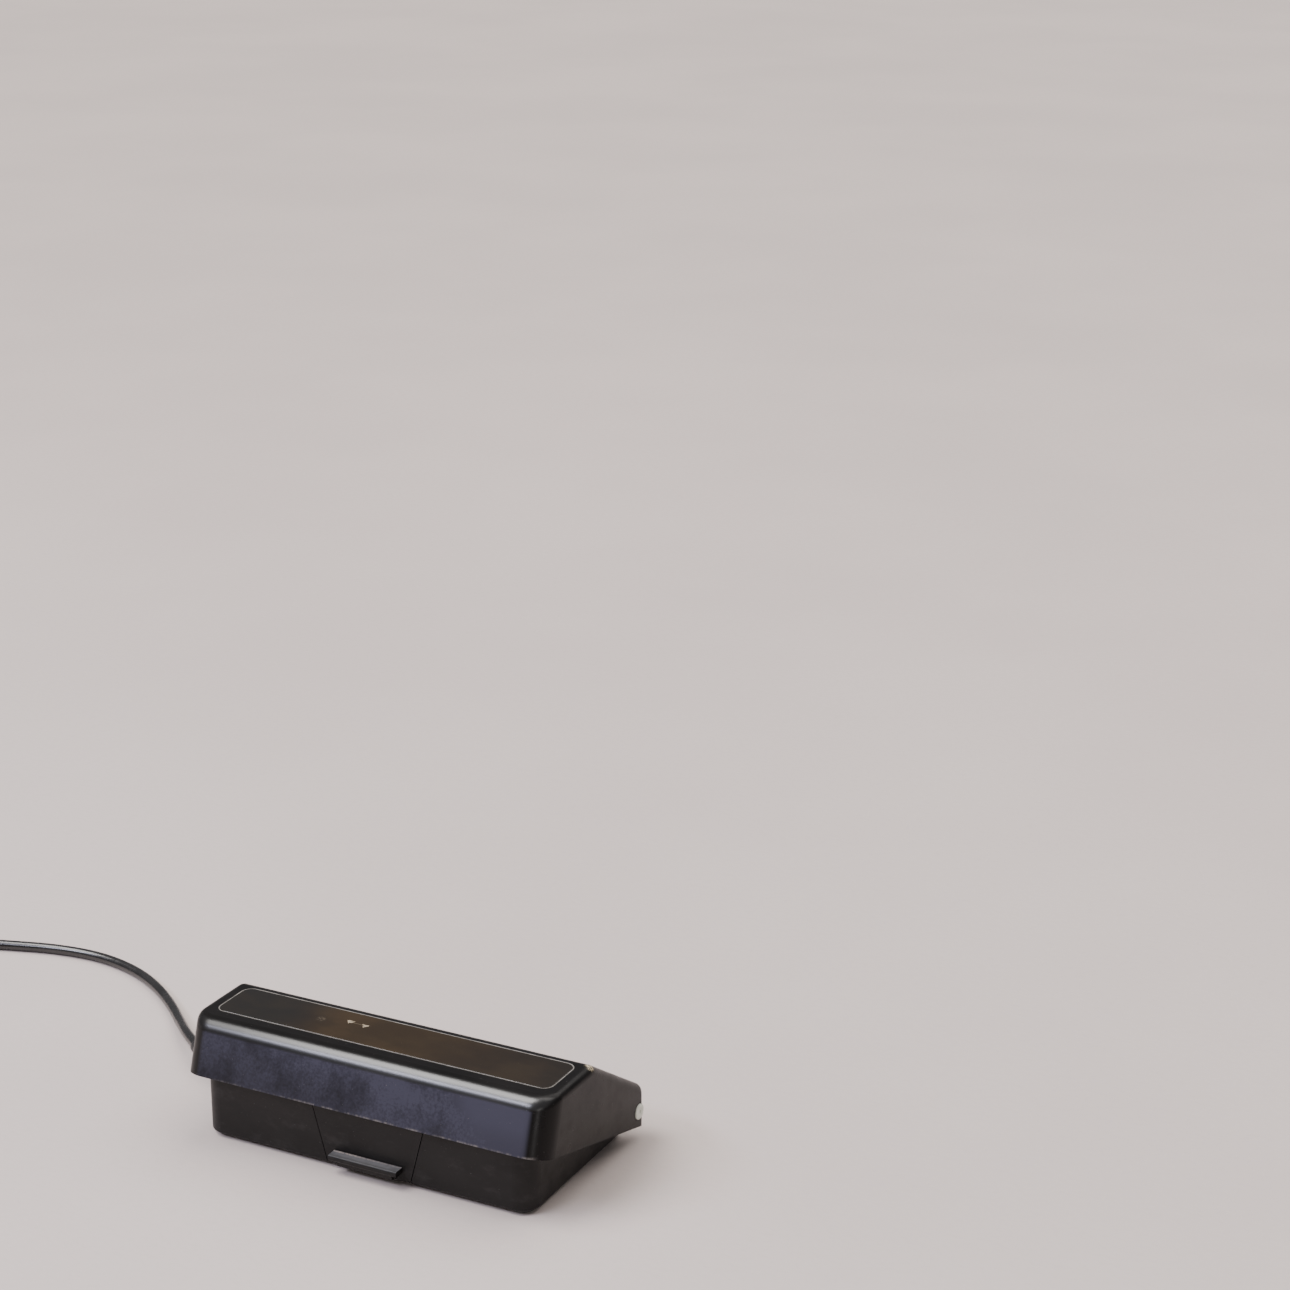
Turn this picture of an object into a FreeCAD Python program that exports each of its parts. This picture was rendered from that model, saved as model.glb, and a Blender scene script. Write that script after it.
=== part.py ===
"""Clamshell foot controller for a sewing machine, one STEP file per piece.

Millimetres. X runs along the treadle, +Y towards the hinge, +Z up. The origin is on the floor,
under the middle of the closed pedal. The cord leaves at the -X end.
"""
import FreeCAD, Part
import math
import os

from FreeCAD import Vector, Rotation, Placement

# ---- driving dimensions -------------------------------------------------------------------
COVER_HALF = 82.5            # half the length of the treadle cover
COVER_TOP = 49.5             # height of the flat top
COVER_WALL = 2.4
FRONT_Y, FRONT_LOW_Z = -41.3, 27.8   # lower front edge of the cover
REAR_Y = 42.3
RIDGE_Y = 0.7                # where the flat top turns down
SLOPE_END_Z = 22.2           # height of the rear slope at the rear wall
FRONT_LEAN = 18.0            # degrees the front face leans back
EDGE_FALL = 0.277            # fall of the lower edge per millimetre towards the rear
REAR_WALL_LOW = 17.5         # lower edge of the rear wall, above the hinge barrel
PLATE_HALF = 76.0
PLATE_Y = (-24.5, -2.0)
PLATE_THICK = 0.8
PAD_TOP = 29.0
FRONT_ROUND, END_ROUND, SLOPE_ROUND = 7.0, 4.6, 3.2      # radii of the upper rim
CORNER_START_Y = FRONT_Y + (COVER_TOP - FRONT_LOW_Z) * math.tan(math.radians(FRONT_LEAN))
CATCH_SCREW_Y = -23.5

BASE_HALF = 75.0
BASE_FRONT, BASE_REAR = -37.3, 39.0
BASE_BOTTOM = 1.8
BASE_WALL = 2.4
BASE_FLOOR = 1.6
BASE_OVERLAP = 3.0           # how far the base walls rise past the edge of the cover
FLOOR_TOP = BASE_BOTTOM + BASE_FLOOR
FEET_X, FEET_Y = 67.5, (-30.0, 29.0)
FOOT_DEPTH = 2.5
SCREW_RECESS = 0.8
RATING_RECESS = (14.0, 54.0, -12.0, 12.0)    # x and y limits
RATING_THICK = 0.5

HINGE_Y, HINGE_Z = 37.6, 12.7
PIN_R = 1.5
RUN_FIT = 0.06               # radial clearance of a pin in a part that turns on it
BARREL_R = 4.4

LATCH_X, LATCH_Y, LATCH_Z = 2.6, -32.4, 26.0       # middle of the latch flap's pivot
LATCH_PIN_R = 1.25
FLAP_HALF_LOW, FLAP_HALF_HIGH = 18.9, 26.2
TAB_HALF = 15.5
CATCH_SCREWS_X = (LATCH_X - 3.2, LATCH_X + 3.2)
FLAP_LOW, FLAP_HIGH = 2.3, 29.4
SEAM = 0.35

CORD_R = 2.25
EXIT_Y, EXIT_Z = 1.0, 7.5

HOUSING = (-60.0, -10.0, -22.0, 19.5)    # controller housing, x and y limits
HOUSING_TOP = 18.8
PLUNGER_X, PLUNGER_Y = -35.0, 10.0
BAIL_LOW, BAIL_TOP = 26.0, 27.6
NUT_HEIGHT = 1.6
SCREW_TIP_Z = 24.0
PLUNGER_TOP = SCREW_TIP_Z - 0.4
SPRING_X, SPRING_Y = 50.0, 24.6
POSTS = ((-15.0, -17.2), (-37.5, -17.2))     # screw posts of the housing
BLOCK_HALF = 14.0
DISC_R, DISC_Z = 2.2, 7.9
TERMINAL_X = (-53.2, -49.2)
TERMINAL_FACE_Y = -8.5
CLAMP_X, CLAMP_SCREW_Y = -67.5, -5.8
CLAMP_SEAT_Z = 6.3

RELIEF_ROOT_R, RELIEF_TIP_R = 3.4, 2.9
RELIEF_STRAIGHT = 11.0       # straight stretch of the sleeve past its bend
GROOVE_COUNT = 7

# Route of the cord: from inside the base, through the bent strain relief, along the floor to the coil.
CORD_ROUTE = [
    (-63.5, 1.0, 7.5), (-97.0, 1.0, 7.5), (-126.0, 22.5, 5.6), (-141.0, 37.0, 3.0),
    (-154.5, 49.5, 2.25), (-171.0, 61.8, 2.25), (-190.0, 71.3, 2.25), (-212.0, 76.2, 2.25),
    (-235.0, 74.2, 2.25), (-257.0, 67.5, 2.25), (-279.0, 59.5, 2.8),
]
COIL_X, COIL_Y = -284.5, 24.0
COIL_IN, COIL_OUT = 15.5, 34.0
COIL_LOW, COIL_TOP = 0.6, 9.8
TAIL_ROUTE = [
    (-314.1, 13.2, 7.2), (-310.6, 3.5, 6.5), (-307.5, -7.0, 5.4), (-306.0, -17.5, 4.6),
    (-306.0, -27.0, 4.6),
]
CONNECTOR_X, CONNECTOR_HALF = -306.0, 9.5
CONNECTOR_Y = (-56.0, -26.0)
CONNECTOR_TOP = 13.0
CONNECTOR_SLEEVE = 8.0       # length of the tapered sleeve round the cord
SOCKET_X = (-310.2, -301.8)
SOCKET_Z = 6.5
SOCKET_R = 2.45


# ---- small helpers ------------------------------------------------------------------------
def box(x0, x1, y0, y1, z0, z1):
    return Part.makeBox(x1 - x0, y1 - y0, z1 - z0, Vector(x0, y0, z0))


def cylinder(radius, start, direction, length):
    return Part.makeCylinder(radius, length, Vector(*start), Vector(*direction))


def cone(radius_1, radius_2, start, direction, length):
    return Part.makeCone(radius_1, radius_2, length, Vector(*start), Vector(*direction))


def fuse(first, *others):
    return first.fuse(list(others)).removeSplitter()


def prism_x(outline, x0, x1):
    """Extrude a closed outline of (y, z) points from x0 to x1."""
    points = [Vector(x0, y, z) for y, z in outline]
    face = Part.Face(Part.makePolygon(points + points[:1]))
    return face.extrude(Vector(x1 - x0, 0, 0))


def prism_y(outline, y0, y1):
    """Extrude a closed outline of (x, z) points from y0 to y1."""
    points = [Vector(x, y0, z) for x, z in outline]
    face = Part.Face(Part.makePolygon(points + points[:1]))
    return face.extrude(Vector(0, y1 - y0, 0))


def edges_where(shape, test):
    """Edges of the shape whose middle point passes the test."""
    chosen = []
    for edge in shape.Edges:
        middle = edge.valueAt((edge.FirstParameter + edge.LastParameter) / 2)
        if test(middle, edge):
            chosen.append(edge)
    return chosen


def is_along(edge, axis):
    """True when a straight edge runs along the axis."""
    if not isinstance(edge.Curve, Part.Line):
        return False
    return abs(edge.Curve.Direction.dot(axis)) > 0.999


def graded_fillet(shape, sized_edges):
    """Round edges given as (number in the shape, first radius, last radius)."""
    document = FreeCAD.newDocument("rounding")
    base = document.addObject("Part::Feature", "base")
    base.Shape = shape
    rounded = document.addObject("Part::Fillet", "rounded")
    rounded.Base = base
    rounded.Edges = sized_edges
    document.recompute()
    result = rounded.Shape.copy()
    FreeCAD.closeDocument(document.Name)
    return result


def rounded_box(x0, x1, y0, y1, z0, z1, radius):
    """Box with its four upright edges rounded."""
    block = box(x0, x1, y0, y1, z0, z1)
    upright = edges_where(block, lambda middle, edge: is_along(edge, Vector(0, 0, 1)))
    return block.makeFillet(radius, upright)


def mirrored(shape):
    """The same shape on the other side of the middle of the pedal."""
    return shape.mirror(Vector(0, 0, 0), Vector(1, 0, 0))


def pair(shape):
    return Part.makeCompound([shape, mirrored(shape)])


def tube(route, radius, label):
    """Round tube along straight runs joined by tangent arcs; prints the arc radii."""
    points = [Vector(*p) for p in route]
    edges = []
    here = points[0]
    path_length = 0.0
    radii = []
    for before, corner, after in zip(points, points[1:], points[2:]):
        run_in, run_out = corner - before, after - corner
        turn = run_in.getAngle(run_out)
        trim = 0.45 * min(run_in.Length, run_out.Length)
        radii.append(trim / math.tan(turn / 2))
        back = Vector(run_in).normalize()
        ahead = Vector(run_out).normalize()
        start, end = corner - back * trim, corner + ahead * trim
        bisector = (ahead - back).normalize()
        bulge = radii[-1] / math.cos(turn / 2) - radii[-1]
        edges.append(Part.LineSegment(here, start).toShape())
        edges.append(Part.Arc(start, corner + bisector * bulge, end).toShape())
        path_length += (start - here).Length + radii[-1] * turn
        here = end
    edges.append(Part.LineSegment(here, points[-1]).toShape())
    path_length += (points[-1] - here).Length
    spine = Part.Wire(edges)
    first_run = points[1] - points[0]
    section = Part.Wire(Part.makeCircle(radius, points[0], first_run))
    solid = spine.makePipeShell([section], True, True)
    expected = math.pi * radius ** 2 * path_length
    print(label, "length", round(path_length, 1), "radii", [round(r, 1) for r in radii],
          "volume ratio", round(solid.Volume / expected, 4))
    return solid


def coil_spring(centre, axis, mean_radius, wire_radius, length, turns):
    """Open helical spring standing on the centre point along the axis."""
    height = length - 2 * wire_radius
    helix = Part.makeHelix(height / turns, height, mean_radius)
    section = Part.Wire(Part.makeCircle(wire_radius, Vector(mean_radius, 0, 0), Vector(0, 1, 0)))
    solid = Part.Wire(helix.Edges).makePipeShell([section], True, True)
    solid.translate(Vector(0, 0, wire_radius))
    solid.Placement = Placement(Vector(*centre), Rotation(Vector(0, 0, 1), Vector(*axis))) * solid.Placement
    return solid


def cover_edge_z(y):
    """Height of the cover's lower edge."""
    return FRONT_LOW_Z - EDGE_FALL * (y - FRONT_Y)


def screw(position, axis, head_radius, head_height, shank_radius, shank_length):
    """Slotted pan-head screw; the head sits on the position and the shank goes against the axis."""
    head = Part.makeCylinder(head_radius, head_height)
    top_edge = edges_where(head, lambda middle, edge: edge.Closed and middle.z > head_height - 0.01)
    head = head.makeFillet(head_height * 0.45, top_edge)
    shank = Part.makeCylinder(shank_radius, shank_length, Vector(0, 0, -shank_length))
    body = head.fuse(shank).removeSplitter()
    slot_depth, slot_width = head_height * 0.5, head_radius * 0.3
    slot = box(-head_radius, head_radius, -slot_width / 2, slot_width / 2,
               head_height - slot_depth, head_height + 1)
    body = body.cut(slot)
    body.Placement = Placement(Vector(*position), Rotation(Vector(0, 0, 1), Vector(*axis)))
    return body


# ---- treadle cover ------------------------------------------------------------------------
def cover_form(inset, ridge_radius, corner_radius):
    """Outer form of the cover, made smaller by inset all round."""
    slope = math.atan2(COVER_TOP - SLOPE_END_Z, REAR_Y - RIDGE_Y)
    top = COVER_TOP - inset
    rear = REAR_Y - inset
    drop = inset / math.cos(slope)
    ridge_y = RIDGE_Y + (inset - drop) / math.tan(slope)
    slope_end = COVER_TOP - drop - math.tan(slope) * (rear - RIDGE_Y)
    far_front = FRONT_Y - 20
    outline = [(far_front, -5), (far_front, top), (ridge_y, top), (rear, slope_end), (rear, -5)]
    form = prism_x(outline, -COVER_HALF - 5, COVER_HALF + 5)
    ridges = edges_where(form, lambda middle, edge: is_along(edge, Vector(1, 0, 0))
                         and middle.z > 15 and middle.y > far_front + 1)
    if ridge_radius > 0:
        form = form.makeFillet(ridge_radius, ridges)
    half = COVER_HALF - inset
    leaning = box(-half, half, 0, 150, -60, 70)
    corners = edges_where(leaning, lambda middle, edge: is_along(edge, Vector(0, 0, 1)) and middle.y < 1)
    leaning = leaning.makeFillet(corner_radius, corners)
    front = FRONT_Y + inset / math.cos(math.radians(FRONT_LEAN))
    leaning.Placement = Placement(Vector(0, front, FRONT_LOW_Z), Rotation(Vector(1, 0, 0), -FRONT_LEAN))
    return form.common(leaning)


def rim_radius(point):
    """Radius of the cover's upper rim: broad along the front, tighter at the ends and down the slope."""
    if point.y < CORNER_START_Y + 0.1:
        return FRONT_ROUND
    if point.y < RIDGE_Y - 2:
        return END_ROUND
    return SLOPE_ROUND


def make_treadle_cover():
    above = prism_x([(-70, cover_edge_z(-70)), (70, cover_edge_z(70)), (70, 120), (-70, 120)], -100, 100)
    outer = cover_form(0, 5.2, 10.0).common(above)

    sized_edges = []
    for number, edge in enumerate(outer.Edges, 1):
        middle = edge.valueAt((edge.FirstParameter + edge.LastParameter) / 2)
        on_top_rim = abs(middle.z - COVER_TOP) < 0.01 and middle.y < RIDGE_Y - 3
        on_end = abs(abs(middle.x) - COVER_HALF) < 0.01
        upright_seam = isinstance(edge.Curve, Part.Line) and abs(edge.Curve.Direction.z) > 0.9 and middle.y < 0
        inside_top = is_along(edge, Vector(1, 0, 0)) and middle.y > RIDGE_Y - 6
        above_lower_edge = middle.z > cover_edge_z(middle.y) + 1.0
        if above_lower_edge and (on_top_rim or on_end) and not upright_seam and not inside_top:
            first, last = edge.valueAt(edge.FirstParameter), edge.valueAt(edge.LastParameter)
            sized_edges.append((number, rim_radius(first), rim_radius(last)))
    left_half = graded_fillet(outer, sized_edges).common(box(-100, 0, -100, 100, -20, 100))
    outer = fuse(left_half, mirrored(left_half))
    shell = outer.cut(cover_form(COVER_WALL, 0, 10.0 - COVER_WALL))

    # the rear wall ends above the hinge barrel
    inner_half = COVER_HALF - COVER_WALL
    shell = shell.cut(box(-inner_half, inner_half, REAR_Y - 8, REAR_Y + 5, -5, REAR_WALL_LOW))

    # recess for the top plate
    margin = 0.6
    shell = shell.cut(rounded_box(-PLATE_HALF - margin, PLATE_HALF + margin, PLATE_Y[0] - margin,
                                  PLATE_Y[1] + margin, COVER_TOP - PLATE_THICK, COVER_TOP + 5, 4.6))

    # pin holes with their head recesses
    for side in (-1, 1):
        shell = shell.cut(cylinder(PIN_R + RUN_FIT, (side * 78, HINGE_Y, HINGE_Z), (side, 0, 0), 8))
        shell = shell.cut(cylinder(3.45, (side * (COVER_HALF - 0.8), HINGE_Y, HINGE_Z), (side, 0, 0), 8))

    # shallow scallop over the strain relief in the left wall
    shell = shell.cut(cylinder(5.0, (-85, EXIT_Y, cover_edge_z(EXIT_Y) - 3.6), (1, 0, 0), 8))

    # ribs under the roof: two that carry the pads, and thin stiffeners
    roof = COVER_TOP - COVER_WALL
    ribs = []
    inner = cover_form(COVER_WALL - 0.5, 0, 10.0 - COVER_WALL)
    for x in (-50.0, 50.0):
        ribs.append(box(x - 1.5, x + 1.5, 15.0, 25.0, PAD_TOP, 60).common(inner))
    for x in (-64.0, -22.0, 22.0, 64.0):
        ribs.append(box(x - 0.8, x + 0.8, -36.0, -4.0, roof - 3.0, 60).common(inner))
    shell = shell.fuse(ribs).removeSplitter()
    for x in CATCH_SCREWS_X:
        shell = shell.cut(cylinder(1.15, (x, CATCH_SCREW_Y, 40), (0, 0, 1), 8.0))
    return shell


def make_top_plate():
    plate = rounded_box(-PLATE_HALF, PLATE_HALF, PLATE_Y[0], PLATE_Y[1],
                        COVER_TOP - PLATE_THICK, COVER_TOP, 4.0)
    rim = edges_where(plate, lambda middle, edge: abs(middle.z - COVER_TOP) < 0.01)
    return plate.makeFillet(0.25, rim)


def make_bail_pads():
    """Felt pads on the two ribs that press the bail."""
    return pair(box(48.0, 52.0, 15.0, 25.0, PAD_TOP - 1.0, PAD_TOP))


def make_cover_catch():
    """Steel catch hanging from the roof, with a barb under the latch nose."""
    roof = COVER_TOP - COVER_WALL
    outline = [(-29.8, 17.0), (-31.6, 17.0), (-31.6, 15.0), (-28.4, 15.0), (-28.4, roof - 1.2),
               (-20.0, roof - 1.2), (-20.0, roof), (-29.8, roof)]
    catch = prism_x(outline, LATCH_X - 5.0, LATCH_X + 5.0)
    for x in CATCH_SCREWS_X:
        catch = catch.cut(cylinder(1.2, (x, CATCH_SCREW_Y, 40), (0, 0, 1), 10))
    return catch


def make_catch_screws():
    under = COVER_TOP - COVER_WALL - 1.2
    return Part.makeCompound([screw((x, CATCH_SCREW_Y, under), (0, 0, -1), 1.9, 1.2, 1.05, 2.0)
                              for x in CATCH_SCREWS_X])


# ---- base ---------------------------------------------------------------------------------
def flap_half(z):
    """Half width of the latch flap at a height."""
    share = (z - FLAP_LOW) / (FLAP_HIGH - FLAP_LOW)
    return FLAP_HALF_LOW + share * (FLAP_HALF_HIGH - FLAP_HALF_LOW)


def make_base_shell():
    outer = box(-BASE_HALF, BASE_HALF, BASE_FRONT, BASE_REAR, BASE_BOTTOM, 45)
    front = edges_where(outer, lambda m, e: is_along(e, Vector(0, 0, 1)) and m.y < 0)
    outer = outer.makeFillet(8.0, front)
    rear = edges_where(outer, lambda m, e: is_along(e, Vector(0, 0, 1)) and m.y > BASE_REAR - 0.1)
    outer = outer.makeFillet(3.0, rear)
    bottom = edges_where(outer, lambda m, e: abs(m.z - BASE_BOTTOM) < 0.01)
    outer = outer.makeFillet(0.9, bottom)
    inner = rounded_box(-BASE_HALF + BASE_WALL, BASE_HALF - BASE_WALL, BASE_FRONT + BASE_WALL,
                        BASE_REAR - BASE_WALL, FLOOR_TOP, 60, 5.6)
    rise = BASE_OVERLAP
    above = prism_x([(-70, cover_edge_z(-70) + rise), (70, cover_edge_z(70) + rise), (70, 90), (-70, 90)],
                    -100, 100)
    shell = outer.cut(inner).cut(above)

    # hinge barrel along the rear wall
    barrel = cylinder(BARREL_R, (-BASE_HALF, HINGE_Y, HINGE_Z), (1, 0, 0), 2 * BASE_HALF)
    web = box(-BASE_HALF, BASE_HALF, BASE_REAR - BASE_WALL, BASE_REAR, 8, HINGE_Z)
    shell = shell.fuse([barrel, web])

    # partition between the controller and the cord compartment, and its short stiffeners
    shell = shell.fuse([
        box(8.0, 10.0, -26.0, BASE_REAR - BASE_WALL, BASE_BOTTOM + 0.8, 18.0),
        box(-62.0, 8.0, 31.0, 32.5, BASE_BOTTOM + 0.8, 9.0),
    ])

    # seats of the return springs
    for side in (-1, 1):
        shell = shell.fuse(cylinder(3.1, (side * SPRING_X, SPRING_Y, BASE_BOTTOM + 0.8), (0, 0, 1), 3.8))

    # boss for the cord clamp screw
    shell = shell.fuse(cylinder(3.0, (CLAMP_X, CLAMP_SCREW_Y, BASE_BOTTOM + 0.8), (0, 0, 1),
                                CLAMP_SEAT_Z - BASE_BOTTOM - 0.8))

    # brackets that carry the latch pins
    for side in (-1, 1):
        lug_outline = [(BASE_FRONT + 1, 20.0), (-33.0, 20.0), (-30.2, 23.0), (-30.2, 28.6),
                       (BASE_FRONT + 1, 28.6)]
        lug = prism_x(lug_outline, LATCH_X + side * 27.9, LATCH_X + side * 30.4)
        shell = shell.fuse(lug)
    shell = shell.removeSplitter()

    # opening for the latch flap, wider at the top
    half_low, half_high = flap_half(0) + SEAM, flap_half(34) + SEAM
    opening = prism_y([(LATCH_X - half_low, 0), (LATCH_X + half_low, 0),
                       (LATCH_X + half_high, 34), (LATCH_X - half_high, 34)],
                      BASE_FRONT - 5, BASE_FRONT + BASE_WALL + 0.6)
    shell = shell.cut(opening)

    holes = [cylinder(3.02, (-80, EXIT_Y, EXIT_Z), (1, 0, 0), 10)]
    for side in (-1, 1):
        holes.append(cylinder(PIN_R + 0.03, (side * 61.5, HINGE_Y, HINGE_Z), (side, 0, 0), 20))
        holes.append(cylinder(LATCH_PIN_R + 0.02, (LATCH_X + side * 27, LATCH_Y, LATCH_Z), (side, 0, 0), 5))
        for y in FEET_Y:
            holes.append(cylinder(5.1, (side * FEET_X, y, 0), (0, 0, 1), FOOT_DEPTH))
    for x, y in POSTS:
        holes.append(cylinder(1.6, (x, y, 0), (0, 0, 1), 8))
        holes.append(cylinder(3.1, (x, y, 0), (0, 0, 1), BASE_BOTTOM + SCREW_RECESS))
    holes.append(cylinder(1.05, (CLAMP_X, CLAMP_SCREW_Y, 2.6), (0, 0, 1), 10))
    holes.append(rounded_box(*RATING_RECESS, 0, BASE_BOTTOM + RATING_THICK, 2.0))
    return shell.cut(holes)


def make_rubber_feet():
    feet = []
    for side in (-1, 1):
        for y in FEET_Y:
            foot = cylinder(4.9, (side * FEET_X, y, 0), (0, 0, 1), FOOT_DEPTH)
            low = edges_where(foot, lambda m, e: e.Closed and m.z < 0.01)
            feet.append(foot.makeFillet(0.5, low))
    return Part.makeCompound(feet)


def make_rating_plate():
    """Blank metal plate in the recess under the base."""
    x0, x1, y0, y1 = RATING_RECESS
    gap = 0.3
    return rounded_box(x0 + gap, x1 - gap, y0 + gap, y1 - gap, BASE_BOTTOM, BASE_BOTTOM + RATING_THICK, 1.8)


def make_hinge_pins():
    seat = COVER_HALF - 0.7
    pin = cylinder(PIN_R, (62.0, HINGE_Y, HINGE_Z), (1, 0, 0), seat - 62.0)
    head = cylinder(3.25, (seat, HINGE_Y, HINGE_Z), (1, 0, 0), 1.2)
    rim = edges_where(head, lambda m, e: e.Closed and m.x > COVER_HALF)
    head = head.makeFillet(0.4, rim)
    dimple = cylinder(0.8, (COVER_HALF + 0.2, HINGE_Y, HINGE_Z), (1, 0, 0), 2)
    return pair(fuse(pin, head).cut(dimple))


# ---- latch --------------------------------------------------------------------------------
def at_latch(shape):
    """Move a shape made round the middle of the pedal to the middle of the latch."""
    return shape.translated(Vector(LATCH_X, 0, 0))


def make_latch_flap():
    """Trapezoid flap in the front wall, with a pull tab, a nose and two knuckles."""
    panel = prism_y([(-flap_half(FLAP_LOW), FLAP_LOW), (flap_half(FLAP_LOW), FLAP_LOW),
                     (flap_half(FLAP_HIGH), FLAP_HIGH), (-flap_half(FLAP_HIGH), FLAP_HIGH)],
                    BASE_FRONT, BASE_FRONT + BASE_WALL)
    tab = box(-TAB_HALF, TAB_HALF, BASE_FRONT - 5.0, BASE_FRONT + 0.2, 5.8, 8.2)
    outer_edges = edges_where(tab, lambda m, e: is_along(e, Vector(1, 0, 0)) and m.y < BASE_FRONT - 4)
    tab = tab.makeFillet(0.7, outer_edges)
    step = prism_x([(BASE_FRONT + 0.2, 2.6), (BASE_FRONT - 3.0, 3.2), (BASE_FRONT - 3.6, 5.9),
                    (BASE_FRONT + 0.2, 5.9)], 3.0 - TAB_HALF, TAB_HALF - 3.0)
    nose = prism_x([(-35.2, 16.0), (-31.9, 17.6), (-31.9, 19.6), (-35.2, 19.6)], -4.5, 4.5)
    flap = panel.fuse([tab, step, nose])
    for side in (-1, 1):
        knuckle = fuse(cylinder(2.5, (side * 19.6, LATCH_Y, LATCH_Z), (side, 0, 0), 4.0),
                       box(min(side * 19.6, side * 23.6), max(side * 19.6, side * 23.6),
                           BASE_FRONT + 1, LATCH_Y, LATCH_Z - 2.5, LATCH_Z + 2.5))
        flap = flap.fuse(knuckle)
    flap = flap.removeSplitter()
    for side in (-1, 1):
        flap = flap.cut(cylinder(LATCH_PIN_R + RUN_FIT, (side * 18, LATCH_Y, LATCH_Z), (side, 0, 0), 7))
    return at_latch(flap)


def make_latch_pins():
    return at_latch(pair(cylinder(LATCH_PIN_R, (14.6, LATCH_Y, LATCH_Z), (1, 0, 0), 30.2 - 14.6)))


def make_latch_springs():
    """Torsion springs round the latch pins, beside the knuckles."""
    return at_latch(pair(coil_spring((15.4, LATCH_Y, LATCH_Z), (1, 0, 0), 1.85, 0.3, 3.6, 3)))


# ---- return bail and springs --------------------------------------------------------------
def make_return_bail():
    """Pressed steel bail: two arms on the hinge pins and a cross plate under the cover."""
    cross = box(-78.6, 78.6, 14.0, 29.0, BAIL_LOW, BAIL_TOP)
    tongue = box(PLUNGER_X - 7, PLUNGER_X + 7, 4.0, 14.5, BAIL_LOW, BAIL_TOP)
    tips = edges_where(tongue, lambda m, e: is_along(e, Vector(0, 0, 1)) and m.y < 5)
    tongue = tongue.makeFillet(3.0, tips)
    bail = cross.fuse(tongue)
    arm_outline = [(HINGE_Y - 3.6, HINGE_Z - 1.0), (HINGE_Y + 1.0, HINGE_Z + 3.7), (29.0, BAIL_TOP),
                   (14.0, BAIL_TOP), (14.0, BAIL_LOW - 2.0), (17.0, BAIL_LOW - 3.0)]
    for side in (-1, 1):
        arm = prism_x(arm_outline, side * 76.4, side * 78.6)
        eye = cylinder(4.0, (side * 76.4, HINGE_Y, HINGE_Z), (side, 0, 0), 2.2)
        bail = bail.fuse([arm, eye])
    bail = bail.removeSplitter()
    for side in (-1, 1):
        bail = bail.cut(cylinder(PIN_R + RUN_FIT, (side * 75, HINGE_Y, HINGE_Z), (side, 0, 0), 6))
    return bail.cut(cylinder(2.0, (PLUNGER_X, PLUNGER_Y, 20), (0, 0, 1), 10))


def make_adjusting_screw():
    seat = BAIL_TOP + NUT_HEIGHT
    return screw((PLUNGER_X, PLUNGER_Y, seat), (0, 0, 1), 3.2, 1.8, 1.9, seat - SCREW_TIP_Z)


def hexagon(across_flats, x, y, z0, z1):
    circle_r = across_flats / math.sqrt(3)
    points = [Vector(x + circle_r * math.cos(k * math.pi / 3), y + circle_r * math.sin(k * math.pi / 3), z0)
              for k in range(6)]
    return Part.Face(Part.makePolygon(points + points[:1])).extrude(Vector(0, 0, z1 - z0))


def make_lock_nut():
    nut = hexagon(7.0, PLUNGER_X, PLUNGER_Y, BAIL_TOP, BAIL_TOP + NUT_HEIGHT)
    return nut.cut(cylinder(1.95, (PLUNGER_X, PLUNGER_Y, 20), (0, 0, 1), 10))


def make_return_springs():
    return pair(coil_spring((SPRING_X, SPRING_Y, FLOOR_TOP), (0, 0, 1), 4.2, 0.45,
                            BAIL_LOW - 0.1 - FLOOR_TOP, 6))


# ---- controller ---------------------------------------------------------------------------
def make_controller_housing():
    x0, x1, y0, y1 = HOUSING
    outer = rounded_box(x0, x1, y0, y1, FLOOR_TOP, HOUSING_TOP, 2.5)
    inner = box(x0 + 2, x1 - 2, y0 + 2, y1 - 2, FLOOR_TOP + 1.6, 40)
    body = outer.cut(inner)
    posts = [cylinder(2.7, (x, y, FLOOR_TOP + 1), (0, 0, 1), HOUSING_TOP - FLOOR_TOP - 1) for x, y in POSTS]
    body = body.fuse(posts).removeSplitter()
    holes = [cylinder(1.1, (x, y, 12.0), (0, 0, 1), 10) for x, y in POSTS]
    holes += [cylinder(1.35, (x, y, 2.0), (0, 0, 1), 7.6) for x, y in POSTS]
    holes.append(box(x0 - 1, x0 + 3, -4.0, 5.0, 5.8, 40))
    return body.cut(holes)


def make_controller_lid():
    x0, x1, y0, y1 = HOUSING
    lid = rounded_box(x0, x1, y0, y1, HOUSING_TOP, HOUSING_TOP + 1.6, 2.5)
    holes = [cylinder(4.05, (PLUNGER_X, PLUNGER_Y, 10), (0, 0, 1), 20)]
    holes += [cylinder(1.2, (x, y, 10), (0, 0, 1), 20) for x, y in POSTS]
    return lid.cut(holes)


def make_lid_screws():
    return Part.makeCompound([screw((x, y, HOUSING_TOP + 1.6), (0, 0, 1), 2.3, 1.4, 1.0, 6.0)
                              for x, y in POSTS])


def make_housing_screws():
    return Part.makeCompound([screw((x, y, BASE_BOTTOM + SCREW_RECESS), (0, 0, -1), 2.9, 0.8, 1.25, 6.0)
                              for x, y in POSTS])


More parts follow.
